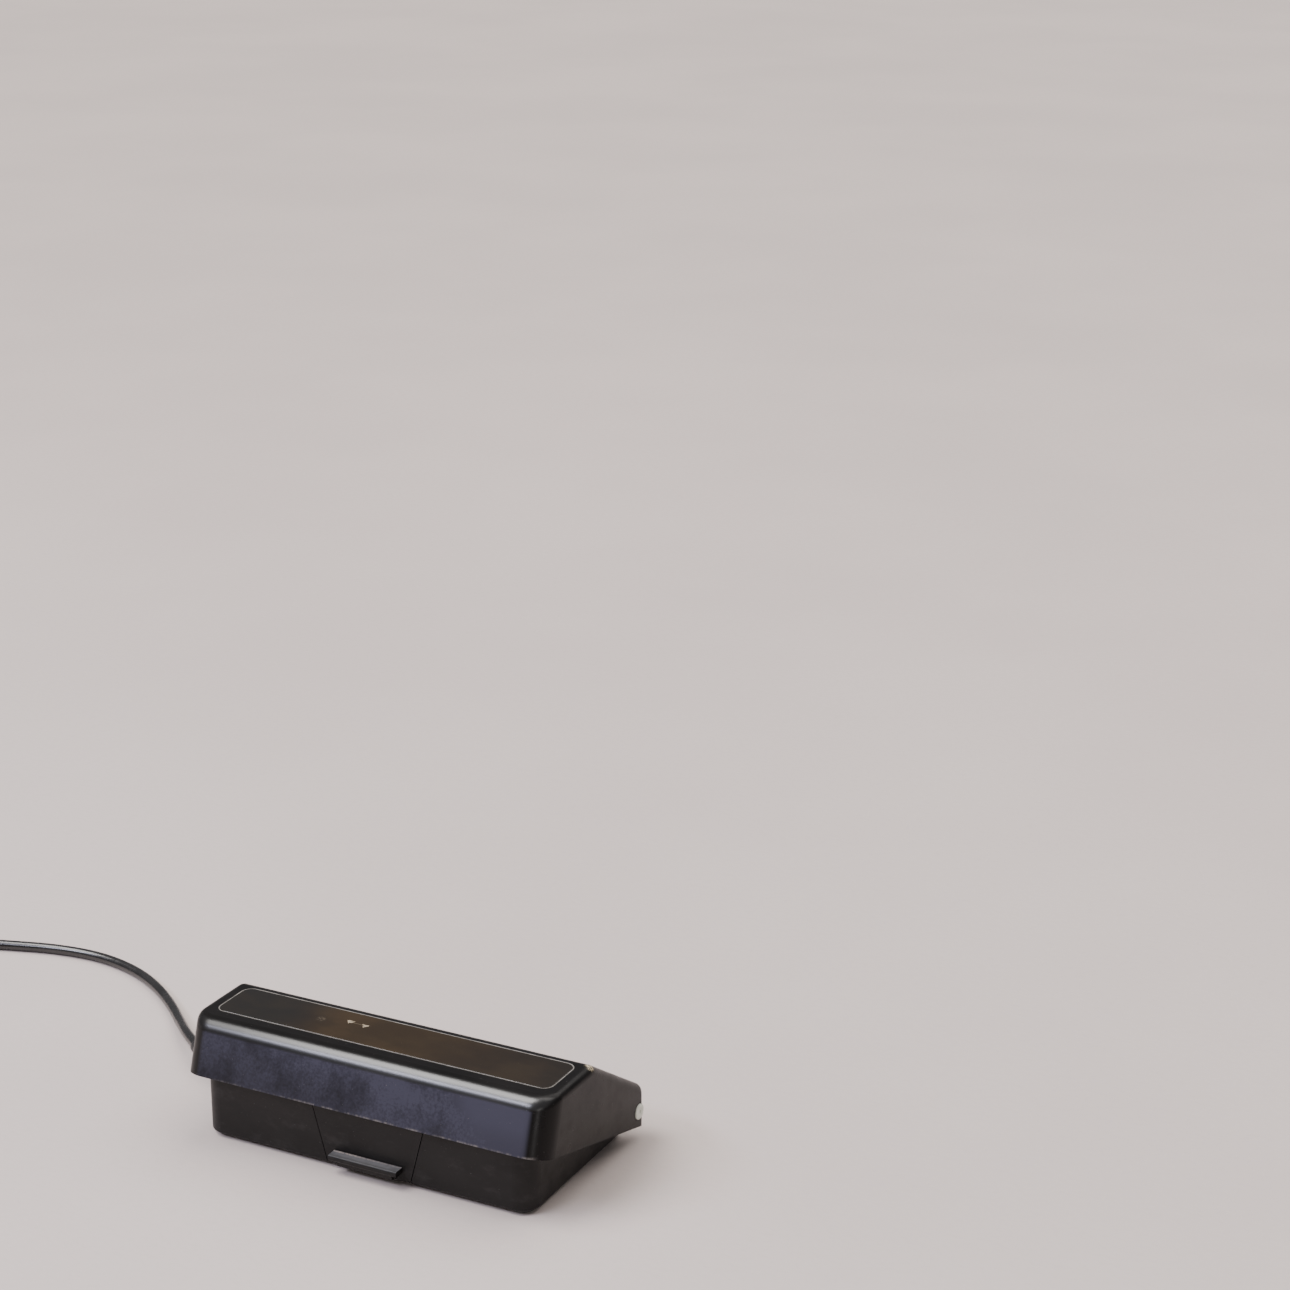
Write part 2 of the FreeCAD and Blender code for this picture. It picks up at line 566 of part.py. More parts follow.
def make_rheostat_block():
    block = box(PLUNGER_X - BLOCK_HALF, PLUNGER_X + BLOCK_HALF, 3.0, 17.0, 5.0, 10.8)
    disc_bore = cylinder(DISC_R + 0.1, (-60, PLUNGER_Y, DISC_Z), (1, 0, 0), 60)
    well = cylinder(4.3, (PLUNGER_X, PLUNGER_Y, 5.3), (0, 0, 1), 10)
    return block.cut([disc_bore, well])


def make_carbon_discs():
    """Two stacks of carbon discs, one each side of the plunger."""
    discs = []
    count, thickness = 5, 1.5
    for k in range(count):
        for side in (-1, 1):
            near = PLUNGER_X + side * (6.2 + k * thickness)
            discs.append(cylinder(DISC_R, (near, PLUNGER_Y, DISC_Z), (side, 0, 0), thickness - 0.1))
    return Part.makeCompound(discs)


def make_contact_buttons():
    """Brass buttons between the plunger cone and the carbon stacks."""
    buttons = []
    for side in (-1, 1):
        face = PLUNGER_X + side * 3.3
        buttons.append(cylinder(DISC_R - 0.1, (face, PLUNGER_Y, DISC_Z), (side, 0, 0), 2.8))
    return Part.makeCompound(buttons)


def make_contact_strips():
    """Brass strips from the ends of the block."""
    strips = []
    for x in (PLUNGER_X - BLOCK_HALF - 0.65, PLUNGER_X + BLOCK_HALF + 0.05):
        strips.append(fuse(box(x, x + 0.6, 5.0, 15.0, 5.4, 10.4), box(x, x + 0.6, 8.0, 12.0, 10.4, 14.0)))
    return Part.makeCompound(strips)


def make_plunger():
    stem = cylinder(4.0, (PLUNGER_X, PLUNGER_Y, 16.0), (0, 0, 1), PLUNGER_TOP - 16.0)
    top = edges_where(stem, lambda m, e: e.Closed and m.z > PLUNGER_TOP - 0.1)
    stem = stem.makeFillet(0.8, top)
    collar = cylinder(5.6, (PLUNGER_X, PLUNGER_Y, 17.4), (0, 0, 1), 1.1)
    nose = cone(1.1, 3.5, (PLUNGER_X, PLUNGER_Y, 10.4), (0, 0, 1), 5.6)
    return fuse(stem, collar, nose)


def make_plunger_spring():
    return coil_spring((PLUNGER_X, PLUNGER_Y, 10.8), (0, 0, 1), 4.9, 0.4, 6.5, 3)


def make_capacitor():
    can = cylinder(4.0, (-36.0, -5.4, 9.4), (1, 0, 0), 18.0)
    rims = edges_where(can, lambda m, e: e.Closed)
    return can.makeFillet(0.6, rims)


def make_terminal_block():
    block = box(-56.5, -45.9, -17.5, TERMINAL_FACE_Y, 5.0, 12.0)
    holes = []
    for x in TERMINAL_X:
        holes.append(cylinder(1.2, (x, TERMINAL_FACE_Y - 7, 8.0), (0, 1, 0), 9))
        holes.append(cylinder(1.6, (x, TERMINAL_FACE_Y - 4.5, 8.5), (0, 0, 1), 5))
    return block.cut(holes)


def make_terminal_screws():
    return Part.makeCompound([screw((x, TERMINAL_FACE_Y - 4.5, 10.6), (0, 0, 1), 1.5, 1.0, 0.9, 1.2)
                              for x in TERMINAL_X])


# ---- cord ---------------------------------------------------------------------------------
def make_strain_relief():
    """Bent tapered sleeve, with a neck in the wall, a flange each side and flex grooves."""
    wall_out = -BASE_HALF
    inner_flange = cylinder(3.9, (wall_out + BASE_WALL, EXIT_Y, EXIT_Z), (1, 0, 0), 1.5)
    neck = cylinder(3.0, (wall_out, EXIT_Y, EXIT_Z), (1, 0, 0), BASE_WALL)
    outer_flange = cylinder(4.2, (wall_out, EXIT_Y, EXIT_Z), (-1, 0, 0), 1.6)

    # the sleeve follows the first bend of the cord
    corner, after = Vector(*CORD_ROUTE[1]), Vector(*CORD_ROUTE[2])
    ahead = (after - corner).normalize()
    back = Vector(-1, 0, 0)
    turn = back.getAngle(ahead)
    trim = 0.45 * min(corner.distanceToPoint(Vector(*CORD_ROUTE[0])), corner.distanceToPoint(after))
    radius = trim / math.tan(turn / 2)
    root = Vector(wall_out - 1.6, EXIT_Y, EXIT_Z)
    arc_start, arc_end = corner - back * trim, corner + ahead * trim
    middle = corner + (ahead - back).normalize() * (radius / math.cos(turn / 2) - radius)
    tip = corner + ahead * (trim + RELIEF_STRAIGHT)
    spine = Part.Wire([Part.LineSegment(root, arc_start).toShape(),
                       Part.Arc(arc_start, middle, arc_end).toShape(),
                       Part.LineSegment(arc_end, tip).toShape()])
    sections = [Part.Wire(Part.makeCircle(RELIEF_ROOT_R, root, back)),
                Part.Wire(Part.makeCircle(RELIEF_TIP_R, tip, ahead))]
    sleeve = fuse(spine.makePipeShell(sections, True, True), inner_flange, neck, outer_flange)

    # flex grooves round the bend
    normal = back.cross(ahead).normalize()
    centre = arc_start + normal.cross(back) * radius
    grooves = []
    for k in range(GROOVE_COUNT):
        angle = turn * (0.12 + 0.86 * k / (GROOVE_COUNT - 1))
        swing = Rotation(normal, math.degrees(angle))
        place = centre + swing.multVec(arc_start - centre)
        heading = swing.multVec(back)
        ring = Part.makeCylinder(6.0, 1.1, place, heading)
        grooves.append(ring.cut(Part.makeCylinder(2.75, 1.1, place, heading)))
    sleeve = sleeve.cut(grooves)
    return sleeve.cut(tube(CORD_ROUTE[:4], CORD_R + 0.02, "relief bore"))


def make_cord_clamp():
    ring = cylinder(3.2, (CLAMP_X - 2.2, EXIT_Y, EXIT_Z), (1, 0, 0), 4.4)
    ear = box(CLAMP_X - 2.2, CLAMP_X + 2.2, CLAMP_SCREW_Y - 2.6, EXIT_Y, CLAMP_SEAT_Z, CLAMP_SEAT_Z + 1)
    clamp = fuse(ring, ear)
    clamp = clamp.cut(cylinder(CORD_R + 0.02, (CLAMP_X - 5, EXIT_Y, EXIT_Z), (1, 0, 0), 10))
    return clamp.cut(cylinder(1.2, (CLAMP_X, CLAMP_SCREW_Y, 0), (0, 0, 1), 20))


def make_clamp_screw():
    return screw((CLAMP_X, CLAMP_SCREW_Y, CLAMP_SEAT_Z + 1), (0, 0, 1), 2.0, 1.4, 1.0, 4.4)


def make_supply_leads():
    """Two insulated leads from the stripped cord to the terminal block."""
    leads = []
    for k, x_end in enumerate(TERMINAL_X):
        route = [(CORD_ROUTE[0][0] + 0.1, EXIT_Y - 0.9 + 1.8 * k, EXIT_Z),
                 (-57.0 + 1.2 * k, 1.6 * k, 7.6),
                 (-53.6 + 3.6 * k, -3.4 + 0.6 * k, 7.8),
                 (x_end, TERMINAL_FACE_Y + 0.1, 8.0)]
        leads.append(tube(route, 0.75, "supply lead"))
    return Part.makeCompound(leads)


def make_cord_coil():
    ring = cylinder(COIL_OUT, (COIL_X, COIL_Y, COIL_LOW), (0, 0, 1), COIL_TOP - COIL_LOW)
    return ring.cut(cylinder(COIL_IN, (COIL_X, COIL_Y, 0), (0, 0, 1), 20))


def make_coil_tie():
    """Strap round the turns of the coil, on the side away from the connector."""
    half = 3.0
    r0, r1 = COIL_IN - 0.6, COIL_OUT + 0.2
    loop = box(r0 - 0.5, r1 + 0.5, -half, half, 0.05, COIL_TOP + 0.7)
    loop = loop.cut(box(r0, r1, -half - 1, half + 1, 0.55, COIL_TOP + 0.2))
    loop.Placement = Placement(Vector(COIL_X, COIL_Y, 0), Rotation(Vector(0, 0, 1), 190))
    return loop


def make_machine_connector():
    mouth_y, back_y = CONNECTOR_Y
    cord_z = TAIL_ROUTE[-1][2]
    body = rounded_box(CONNECTOR_X - CONNECTOR_HALF, CONNECTOR_X + CONNECTOR_HALF, mouth_y, back_y,
                       0, CONNECTOR_TOP, 3.0)
    rims = edges_where(body, lambda m, e: m.z < 0.01 or m.z > CONNECTOR_TOP - 0.01)
    body = body.makeFillet(1.0, rims)
    sleeve = cone(2.9, 4.5, (CONNECTOR_X, back_y + CONNECTOR_SLEEVE, cord_z), (0, -1, 0),
                  CONNECTOR_SLEEVE + 0.5)
    body = fuse(body, sleeve)
    holes = [cylinder(CORD_R, (CONNECTOR_X, back_y + 20, cord_z), (0, -1, 0), 24)]
    for x in SOCKET_X:
        holes.append(cylinder(SOCKET_R + 0.05, (x, mouth_y + 16, SOCKET_Z), (0, -1, 0), 30))
    return body.cut(holes)


def make_connector_sockets():
    mouth_y = CONNECTOR_Y[0]
    sockets = []
    for x in SOCKET_X:
        sleeve = cylinder(SOCKET_R, (x, mouth_y + 16, SOCKET_Z), (0, -1, 0), 15.0)
        sockets.append(sleeve.cut(cylinder(1.6, (x, mouth_y + 14, SOCKET_Z), (0, -1, 0), 20)))
    return Part.makeCompound(sockets)


# ---- write every piece --------------------------------------------------------------------
PIECES = {
    "treadle_cover": make_treadle_cover,
    "top_plate": make_top_plate,
    "bail_pads": make_bail_pads,
    "cover_catch": make_cover_catch,
    "catch_screws": make_catch_screws,
    "base_shell": make_base_shell,
    "rubber_feet": make_rubber_feet,
    "rating_plate": make_rating_plate,
    "hinge_pins": make_hinge_pins,
    "latch_flap": make_latch_flap,
    "latch_pins": make_latch_pins,
    "latch_springs": make_latch_springs,
    "return_bail": make_return_bail,
    "adjusting_screw": make_adjusting_screw,
    "lock_nut": make_lock_nut,
    "return_springs": make_return_springs,
    "controller_housing": make_controller_housing,
    "controller_lid": make_controller_lid,
    "lid_screws": make_lid_screws,
    "housing_screws": make_housing_screws,
    "rheostat_block": make_rheostat_block,
    "carbon_discs": make_carbon_discs,
    "contact_buttons": make_contact_buttons,
    "contact_strips": make_contact_strips,
    "plunger": make_plunger,
    "plunger_spring": make_plunger_spring,
    "suppressor_capacitor": make_capacitor,
    "terminal_block": make_terminal_block,
    "terminal_screws": make_terminal_screws,
    "strain_relief": make_strain_relief,
    "cord_clamp": make_cord_clamp,
    "clamp_screw": make_clamp_screw,
    "supply_leads": make_supply_leads,
    "cord_run": lambda: tube(CORD_ROUTE, CORD_R, "cord run"),
    "cord_coil": make_cord_coil,
    "cord_tail": lambda: tube(TAIL_ROUTE, CORD_R, "cord tail"),
    "coil_tie": make_coil_tie,
    "machine_connector": make_machine_connector,
    "connector_sockets": make_connector_sockets,
}

os.makedirs("parts", exist_ok=True)
for name, make in PIECES.items():
    shape = make()
    if not shape.isValid() or not shape.Solids:
        print("BAD", name)
    print(name, "solids", len(shape.Solids), "volume", round(shape.Volume, 1))
    shape.exportStep("parts/" + name + ".step")
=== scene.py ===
"""Looks of a clamshell sewing machine foot controller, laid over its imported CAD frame."""

import math

import bmesh
import bpy
from mathutils import Matrix, Vector


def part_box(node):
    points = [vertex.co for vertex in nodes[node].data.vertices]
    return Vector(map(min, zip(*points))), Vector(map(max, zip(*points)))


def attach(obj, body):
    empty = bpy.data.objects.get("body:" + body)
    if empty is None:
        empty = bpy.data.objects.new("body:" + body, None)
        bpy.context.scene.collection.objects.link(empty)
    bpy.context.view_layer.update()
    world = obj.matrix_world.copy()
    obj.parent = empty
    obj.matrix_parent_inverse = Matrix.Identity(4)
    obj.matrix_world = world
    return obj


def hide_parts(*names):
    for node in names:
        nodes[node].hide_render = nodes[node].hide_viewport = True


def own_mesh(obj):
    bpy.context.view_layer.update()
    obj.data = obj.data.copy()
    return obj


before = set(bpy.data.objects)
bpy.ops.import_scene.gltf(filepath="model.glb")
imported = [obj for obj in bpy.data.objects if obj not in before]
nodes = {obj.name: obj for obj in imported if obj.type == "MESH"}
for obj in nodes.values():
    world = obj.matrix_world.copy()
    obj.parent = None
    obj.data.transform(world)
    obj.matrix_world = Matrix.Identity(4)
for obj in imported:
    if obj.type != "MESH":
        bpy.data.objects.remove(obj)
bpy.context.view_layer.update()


# ---- node materials -----------------------------------------------------------------------
class Graph:
    """Short calls for building a node material."""

    def __init__(self, name):
        self.material = bpy.data.materials.new(name)
        self.material.use_nodes = True
        self.tree = self.material.node_tree
        self.shader = self.tree.nodes["Principled BSDF"]
        coords = self.tree.nodes.new("ShaderNodeTexCoord")
        self.place = coords.outputs["Object"]
        self.normal = coords.outputs["Normal"]

    def link(self, source, target):
        if isinstance(source, (int, float)):
            target.default_value = source
        elif isinstance(source, tuple):
            target.default_value = (*source, 1.0) if len(target.default_value) == 4 else source
        else:
            self.tree.links.new(source, target)

    def math(self, kind, a, b=0.0, clamp=False):
        node = self.tree.nodes.new("ShaderNodeMath")
        node.operation = kind
        node.use_clamp = clamp
        self.link(a, node.inputs[0])
        self.link(b, node.inputs[1])
        return node.outputs[0]

    def product(self, *factors):
        value = factors[0]
        for factor in factors[1:]:
            value = self.math("MULTIPLY", value, factor)
        return value

    def total(self, *terms, clamp=False):
        value = terms[0]
        for term in terms[1:]:
            value = self.math("ADD", value, term, clamp)
        return value

    def ramp(self, value, low, high, out_low=0.0, out_high=1.0):
        """Smooth step of a value from low to high."""
        node = self.tree.nodes.new("ShaderNodeMapRange")
        node.interpolation_type = "SMOOTHSTEP"
        self.link(value, node.inputs["Value"])
        for key, number in (("From Min", low), ("From Max", high), ("To Min", out_low), ("To Max", out_high)):
            self.link(number, node.inputs[key])
        return node.outputs["Result"]

    def noise(self, scale, detail=4.0, stretch=(1, 1, 1), roughness=0.55, shift=0.0):
        """Noise; scale is in features per metre."""
        mapping = self.tree.nodes.new("ShaderNodeMapping")
        self.link(self.place, mapping.inputs["Vector"])
        mapping.inputs["Scale"].default_value = stretch
        mapping.inputs["Location"].default_value = (shift, shift * 0.7, shift * 1.3)
        node = self.tree.nodes.new("ShaderNodeTexNoise")
        self.link(mapping.outputs[0], node.inputs["Vector"])
        node.inputs["Scale"].default_value = scale
        node.inputs["Detail"].default_value = detail
        node.inputs["Roughness"].default_value = roughness
        return node.outputs["Fac"]

    def mix(self, factor, a, b):
        node = self.tree.nodes.new("ShaderNodeMix")
        node.data_type = "RGBA"
        self.link(factor, node.inputs["Factor"])
        self.link(a, node.inputs[6])
        self.link(b, node.inputs[7])
        return node.outputs[2]

    def split(self, vector):
        node = self.tree.nodes.new("ShaderNodeSeparateXYZ")
        self.link(vector, node.inputs[0])
        return node.outputs

    def near(self, point, reach):
        """One at a point in the row frame, falling to nothing at reach."""
        node = self.tree.nodes.new("ShaderNodeVectorMath")
        node.operation = "DISTANCE"
        self.link(self.place, node.inputs[0])
        node.inputs[1].default_value = point
        return self.ramp(node.outputs["Value"], reach, reach * 0.3)

    def bump(self, height, strength, distance):
        node = self.tree.nodes.new("ShaderNodeBump")
        node.inputs["Strength"].default_value = strength
        node.inputs["Distance"].default_value = distance
        self.link(height, node.inputs["Height"])
        self.link(node.outputs[0], self.shader.inputs["Normal"])

    def finish(self, colour, roughness, metallic=0.0, specular=0.5):
        self.link(colour, self.shader.inputs["Base Color"])
        self.link(roughness, self.shader.inputs["Roughness"])
        self.shader.inputs["Metallic"].default_value = metallic
        self.shader.inputs["Specular IOR Level"].default_value = specular
        return self.material


def moulded(name, dark, light, rough, mottle=60.0, grain=2500.0, bump=0.15, metallic=0.0, specular=0.5,
            stretch=(1, 1, 1)):
    """Plain material with slow mottling, fine grain and a rougher touch here and there."""
    g = Graph(name)
    slow = g.noise(mottle, 4.0, stretch)
    fine = g.noise(grain, 3.0, stretch, shift=3.1)
    tone = g.total(g.product(slow, 0.7), g.product(fine, 0.3))
    colour = g.mix(g.ramp(tone, 0.3, 0.7), dark, light)
    roughness = g.ramp(g.noise(mottle * 2.3, 5.0, stretch, shift=1.7), 0.25, 0.75, *rough)
    g.bump(g.total(fine, g.product(slow, 0.4)), bump, 0.0002)
    return g.finish(colour, roughness, metallic, specular)


def specked(g, colour, scale, rarity, strength, tint):
    """Colour with small light specks scattered over it."""
    speck = g.ramp(g.noise(scale, 2.0, shift=9.0), rarity, rarity + 0.035)
    return g.mix(g.product(speck, strength), colour, tint)


# centre of the painted highlight on the ridge's right corner
RIDGE_HIGHLIGHT_SPOT = (0.0806, -0.0002, 0.0489)


def cover_material():
    """Polished black moulding: hazy front face with a painted bluish reflection, worn lower edge, a painted
    highlight on the ridge.
    """
    g = Graph("cover_gloss")
    x, y, z = g.split(g.place)
    nx, ny, nz = g.split(g.normal)
    towards_front = g.product(ny, -1.0)
    slow = g.noise(30.0, 5.0)
    cloud = g.noise(75.0, 6.0, (0.8, 1.0, 0.7), 0.65, 2.0)
    streak = g.noise(260.0, 5.0, (1.0, 0.2, 0.2), 0.6, 7.0)
    fine = g.noise(900.0, 4.0, shift=5.0)
    black = g.mix(g.ramp(slow, 0.3, 0.7), (0.0050, 0.0045, 0.0045), (0.0085, 0.0075, 0.0072))

    # haze of fine scratches and dust on the leaning front face, partly a painted bluish reflection of the
    # surroundings, evener at its right end
    patchy = g.total(g.product(cloud, 0.5), g.product(slow, 0.35), g.product(streak, 0.15))
    density = g.product(g.ramp(patchy, 0.40, 0.60, 0.42, 1.0), g.ramp(fine, 0.3, 0.7, 0.8, 1.2))
    density = g.math("MAXIMUM", density, g.ramp(x, 0.02, 0.055, 0.0, 0.95))
    # painted highlight: the haze thickens towards the top edge of the face, below the rim
    density = g.product(density, g.ramp(z, 0.029, 0.044, 0.85, 1.2))
    along = g.ramp(x, -0.08, 0.03, 0.62, 1.0)
    haze_and_sheen = g.product(g.ramp(towards_front, 0.90, 0.955), density, along)
    colour = g.mix(haze_and_sheen, black, (0.046, 0.045, 0.066))
    colour = specked(g, colour, 1500.0, 0.735, 0.55, (0.22, 0.21, 0.2))

    # wear along the lower front edge
    edge = g.product(g.ramp(z, 0.0287, 0.0279), g.ramp(y, -0.038, -0.0405), g.ramp(nz, -0.7, -0.3))
    broken = g.ramp(g.noise(300.0, 6.0, (1, 0.2, 0.2), 0.8, 4.0), 0.42, 0.66)
    wear = g.product(edge, broken, g.ramp(x, -0.065, 0.0, 0.3, 1.0))
    colour = g.mix(g.product(wear, 0.8), colour, (0.20, 0.18, 0.17))

    # painted highlight at the right end of the ridge: a cream spot where light catches the corner
    ragged = g.ramp(g.noise(1300.0, 4.0, shift=6.0), 0.42, 0.52)
    ridge_highlight = g.product(g.near(RIDGE_HIGHLIGHT_SPOT, 0.0026), ragged)
    colour = g.mix(ridge_highlight, colour, (0.55, 0.47, 0.33))

    # the rounded front rim is rubbed glossier, less so towards the cord
    rim = g.product(g.ramp(towards_front, 0.25, 0.5), g.ramp(nz, 0.3, 0.45),
                    g.ramp(g.math("ABSOLUTE", nx), 0.8, 0.5), g.ramp(x, -0.08, 0.0, 0.35, 1.0))
    g.link(g.product(rim, 0.78), g.shader.inputs["Coat Weight"])
    g.shader.inputs["Coat Roughness"].default_value = 0.28
    g.shader.inputs["Coat IOR"].default_value = 1.7

    smooth = g.ramp(g.noise(140.0, 5.0, (0.3, 1, 1), 0.6, 8.0), 0.3, 0.75, 0.27, 0.38)
    roughness = g.total(smooth, g.product(haze_and_sheen, 0.12), g.product(g.total(wear, ridge_highlight), 0.3), clamp=True)
    g.bump(g.total(g.product(fine, 0.5), g.product(cloud, 0.6)), 0.08, 0.0003)
    return g.finish(colour, roughness, specular=0.15)


# middle along x, lower end along y, half width and height of each scuff, in metres
SCUFFS = ((-0.0218, -0.0118, 0.0020, 0.0030), (-0.0146, -0.0121, 0.0019, 0.0027))
SCRATCH_Y = -0.0109
FAINT_MARK = (-0.0335, -0.0128, 0.0495)


def plate_material():
    """Polished black plate with a painted brownish reflection across its middle, and two old scuffs joined by
    a faint scratch.
    """
    g = Graph("plate_gloss")
    x, y, z = g.split(g.place)
    slow = g.noise(30.0, 4.0, (1, 1.6, 1))
    fine = g.noise(1100.0, 4.0, (1, 1, 1), 0.6, 5.0)
    # painted reflection: the middle of the plate is tinted brown, as if mirroring something brown nearby
    grey = g.mix(g.ramp(slow, 0.35, 0.65), (0.0090, 0.0078, 0.0074), (0.0150, 0.0118, 0.0088))
    brown = g.mix(g.ramp(slow, 0.35, 0.65), (0.0240, 0.0145, 0.0068), (0.0370, 0.0225, 0.0102))
    middle = g.product(g.ramp(x, -0.052, -0.022), g.ramp(x, 0.075, 0.0, 0.3, 1.0))
    colour = g.mix(middle, grey, brown)

    ragged = g.ramp(g.noise(1150.0, 5.0, (0.7, 1, 1), 0.7, 1.4), 0.42, 0.52)
    scuffs = []
    for at_x, low_y, half_width, height in SCUFFS:
        # a wedge that widens away from the front
        rise = g.math("DIVIDE", g.math("SUBTRACT", y, low_y), height)
        aside = g.math("ABSOLUTE", g.math("SUBTRACT", x, at_x))
        spare = g.math("SUBTRACT", g.product(rise, half_width), aside)
        scuffs.append(g.product(g.ramp(spare, 0.0, 0.0003), g.ramp(rise, 1.1, 0.9), ragged))

    scratch_y = g.total(g.product(g.noise(160.0, 2.0), 0.0016), SCRATCH_Y)
    off = g.math("ABSOLUTE", g.math("SUBTRACT", y, scratch_y))
    scratch = g.product(g.ramp(off, 0.0003, 0.0001), g.ramp(x, -0.0225, -0.0205),
                        g.ramp(x, -0.0125, -0.0145), 0.16)
    faint = g.product(g.near(FAINT_MARK, 0.0026), g.ramp(fine, 0.45, 0.6), 0.12)
    marks = g.total(*scuffs, scratch, faint, clamp=True)
    colour = g.mix(marks, colour, (0.46, 0.38, 0.27))
    colour = specked(g, colour, 1900.0, 0.745, 0.4, (0.2, 0.18, 0.15))

    smooth = g.ramp(g.noise(150.0, 5.0, (0.25, 1, 1), 0.6, 8.0), 0.3, 0.75, 0.13, 0.22)
    g.bump(g.total(g.product(fine, 0.3), marks), 0.07, 0.0003)
    return g.finish(colour, g.total(smooth, g.product(marks, 0.5), clamp=True), specular=0.38)


def base_material(name, pale_tab=False):
    """Satin black moulding with faint smudges; the latch tab's upper face is painted lighter towards its
    back, with a painted highlight along its back edge.
    """
    g = Graph(name)
    x, y, z = g.split(g.place)
    slow = g.noise(38.0, 5.0, (0.8, 1, 1))
    cloud = g.noise(120.0, 5.0, (0.7, 1, 1.6), 0.65, 2.5)
    fine = g.noise(1600.0, 4.0, shift=5.0)
    colour = g.mix(g.ramp(slow, 0.3, 0.7), (0.0070, 0.0065, 0.0064), (0.0115, 0.0106, 0.0104))
    colour = g.mix(g.ramp(cloud, 0.5, 0.72, 0.0, 0.5), colour, (0.026, 0.0245, 0.0248))
    colour = specked(g, colour, 1700.0, 0.74, 0.5, (0.16, 0.155, 0.15))
    if pale_tab:
        # the tab's upper face is painted paler, more so towards its back
        upper_face = g.product(g.ramp(g.split(g.normal)[2], 0.75, 0.95), g.ramp(y, -0.0374, -0.0378),
                               g.ramp(z, 0.0065, 0.0075))
        tab_top_paling = g.product(upper_face, g.ramp(cloud, 0.3, 0.6, 0.55, 1.0),
                           g.ramp(y, -0.0425, -0.0395, 0.4, 1.0))
        colour = g.mix(tab_top_paling, colour, (0.135, 0.132, 0.135))
        # painted highlight: a pale line along the back edge of the tab's upper face
        tab_edge_highlight = g.product(upper_face, g.ramp(y, -0.0388, -0.0383), g.ramp(fine, 0.4, 0.55),
                              g.ramp(x, 0.015, -0.008, 0.25, 0.9))
        colour = g.mix(tab_edge_highlight, colour, (0.40, 0.34, 0.30))
    roughness = g.ramp(g.noise(130.0, 5.0, (0.5, 1, 1), 0.6, 8.0), 0.3, 0.75, 0.36, 0.5)
    g.bump(g.total(fine, g.product(cloud, 0.5)), 0.12, 0.0002)
    return g.finish(colour, roughness, specular=0.22)


def cord_material():
    """Smooth PVC jacket, a little dusty on top."""
    g = Graph("cord_jacket_pvc")
    slow = g.noise(70.0, 4.0)
    fine = g.noise(1800.0, 3.0, shift=5.0)
    colour = g.mix(g.ramp(slow, 0.3, 0.7), (0.0075, 0.0072, 0.0076), (0.0135, 0.0126, 0.0128))
    dust = g.product(g.ramp(g.split(g.normal)[2], 0.2, 0.9), g.ramp(fine, 0.5, 0.7), 0.1)
    colour = g.mix(dust, colour, (0.11, 0.105, 0.1))
    roughness = g.ramp(g.noise(240.0, 4.0, shift=8.0), 0.3, 0.75, 0.2, 0.3)
    g.bump(g.total(g.product(fine, 0.2), slow), 0.04, 0.0002)
    return g.finish(colour, roughness, specular=0.8)


def woven_material(name, dark, light, pitch):
    """Coarse weave of a strap, or the hairs of a felt pad."""
    g = Graph(name)
    x, y, z = g.split(g.place)
    step = 2 * math.pi / pitch
    warp = g.math("SINE", g.product(g.total(x, y), step))
    weft = g.math("SINE", g.product(g.math("SUBTRACT", z, x), step))
    hairs = g.noise(2200.0, 5.0, (1, 0.4, 1), 0.7)
    tone = g.total(g.product(warp, weft, 0.25), hairs)
    colour = g.mix(g.ramp(tone, 0.3, 0.8), dark, light)
    g.bump(tone, 0.5, 0.0003)
    return g.finish(colour, g.ramp(hairs, 0.3, 0.7, 0.75, 0.95), specular=0.25)


def brushed(name, dark, light, rough, stretch=(0.06, 1, 1)):
    return moulded(name, dark, light, rough, 220.0, 2600.0, 0.12, 1.0, 0.5, stretch)


